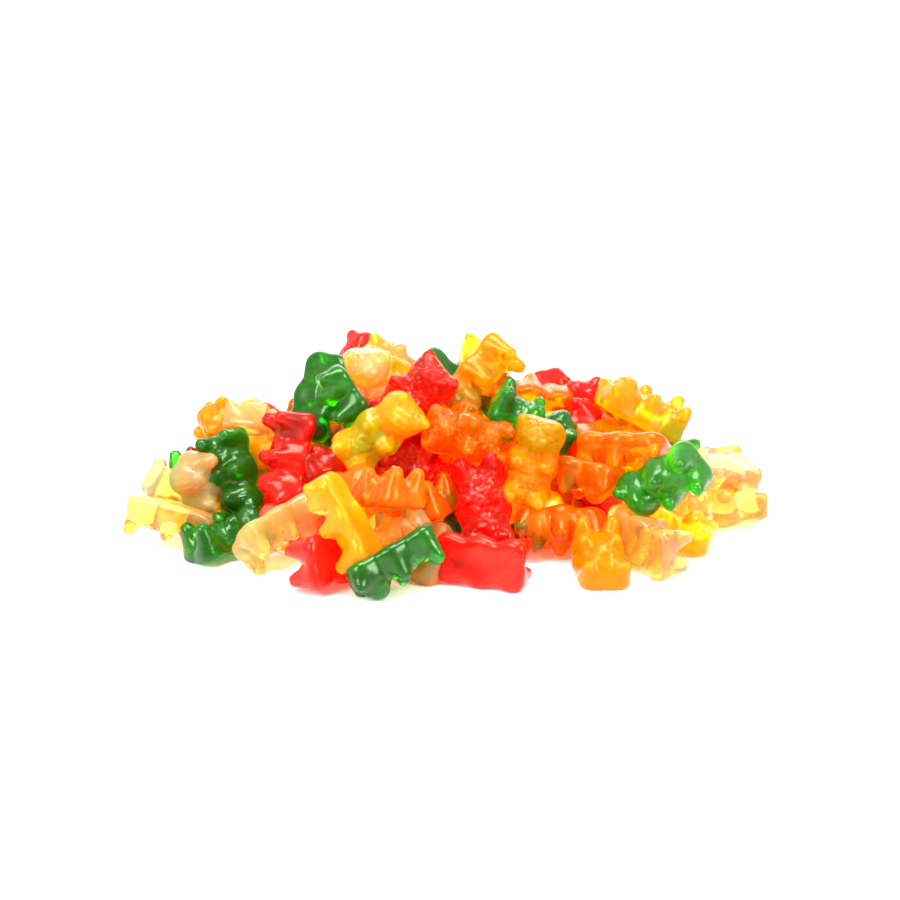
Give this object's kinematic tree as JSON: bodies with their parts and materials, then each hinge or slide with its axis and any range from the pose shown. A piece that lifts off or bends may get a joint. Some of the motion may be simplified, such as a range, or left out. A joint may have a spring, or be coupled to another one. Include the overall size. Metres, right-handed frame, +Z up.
{
  "type": "heap of gummy bears",
  "caption": "Loose heap of fruit gummy bears in mixed colours, lying as poured out on a table, wider than deep.",
  "frame": {"origin": "on the table under the middle of the heap's outline", "axes": "+X to the right along the heap's long side, +Y away from the serving side, +Z up"},
  "size_m": [0.1515, 0.1174, 0.0462],
  "materials": {
    "gummy": "translucent satin gelatine; stands for all the fruit colours of the heap"
  },
  "bodies": {
    "root": {"gummy_heap": "gummy"}
  },
  "joints": []
}
